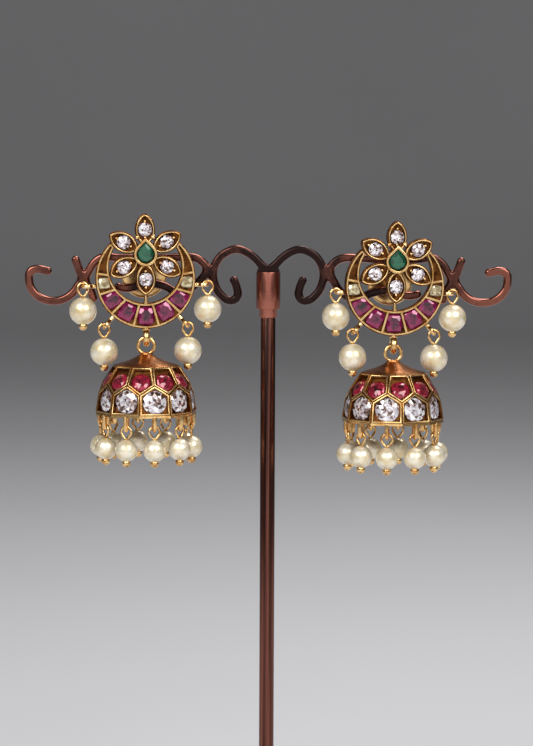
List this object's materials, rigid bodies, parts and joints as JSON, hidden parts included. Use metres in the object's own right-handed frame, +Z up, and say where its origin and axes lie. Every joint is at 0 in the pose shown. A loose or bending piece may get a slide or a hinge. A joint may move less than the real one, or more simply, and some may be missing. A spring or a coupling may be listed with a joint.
{
  "type": "pair of jhumka earrings on a display stand",
  "caption": "Antique-gold stud earrings with a flower in a ruby crescent, each with a domed bell that swings and pearl drops, hooked on a scroll-armed copper stand.",
  "frame": {"origin": "middle of the underside of the stand's foot, on the table", "axes": "+Z up the pole, +X along the arm to the right, the earrings face -Y"},
  "size_m": [0.0874, 0.06, 0.1386],
  "materials": {
    "antique_gold": "antique gold plate, polished edges, dark in the recesses",
    "antique_copper": "dark antique copper plate, satin",
    "bright_copper": "brushed copper",
    "pearl": "cream imitation pearl",
    "emerald": "green glass stone, polished",
    "white_stone": "clear faceted stone, polished",
    "ruby": "deep red glass stone, polished"
  },
  "bodies": {
    "stand": {"stand_foot": "antique_copper", "stand_pole": "antique_copper", "stand_collar": "bright_copper", "stand_arm": "antique_copper", "left_stud_frame": "antique_gold", "left_clutch": "antique_gold", "left_emerald": "emerald", "left_petal_stone_1": "white_stone", "left_petal_stone_2": "white_stone", "left_petal_stone_3": "white_stone", "left_petal_stone_4": "white_stone", "left_petal_stone_5": "white_stone", "left_petal_stone_6": "white_stone", "left_pearl_upper_left": "pearl", "left_pearl_upper_right": "pearl", "left_pearl_lower_left": "pearl", "left_pearl_lower_right": "pearl", "right_stud_frame": "antique_gold", "right_clutch": "antique_gold", "right_emerald": "emerald", "right_petal_stone_1": "white_stone", "right_petal_stone_2": "white_stone", "right_petal_stone_3": "white_stone", "right_petal_stone_4": "white_stone", "right_petal_stone_5": "white_stone", "right_petal_stone_6": "white_stone", "right_pearl_upper_left": "pearl", "right_pearl_upper_right": "pearl", "right_pearl_lower_left": "pearl", "right_pearl_lower_right": "pearl"},
    "left_bell": {"left_bell": "antique_gold", "left_fringe_pearl_1": "pearl", "left_fringe_pearl_2": "pearl", "left_fringe_pearl_3": "pearl", "left_fringe_pearl_4": "pearl", "left_fringe_pearl_5": "pearl", "left_fringe_pearl_6": "pearl", "left_fringe_pearl_7": "pearl", "left_fringe_pearl_8": "pearl", "left_fringe_pearl_9": "pearl", "left_fringe_pearl_10": "pearl"},
    "right_bell": {"right_bell": "antique_gold", "right_fringe_pearl_1": "pearl", "right_fringe_pearl_2": "pearl", "right_fringe_pearl_3": "pearl", "right_fringe_pearl_4": "pearl", "right_fringe_pearl_5": "pearl", "right_fringe_pearl_6": "pearl", "right_fringe_pearl_7": "pearl", "right_fringe_pearl_8": "pearl", "right_fringe_pearl_9": "pearl", "right_fringe_pearl_10": "pearl"}
  },
  "joints": [
    {"name": "left_bell_swing", "type": "hinge", "parent": "stand", "child": "left_bell", "pos_m": [-0.02193, -0.00399, 0.11625], "axis": [0.9962, 0.0872, 0], "range_deg": [-45, 45]},
    {"name": "right_bell_swing", "type": "hinge", "parent": "stand", "child": "right_bell", "pos_m": [0.02255, -0.00402, 0.1151], "axis": [0.9936, 0.1132, 0], "range_deg": [-45, 45]}
  ]
}
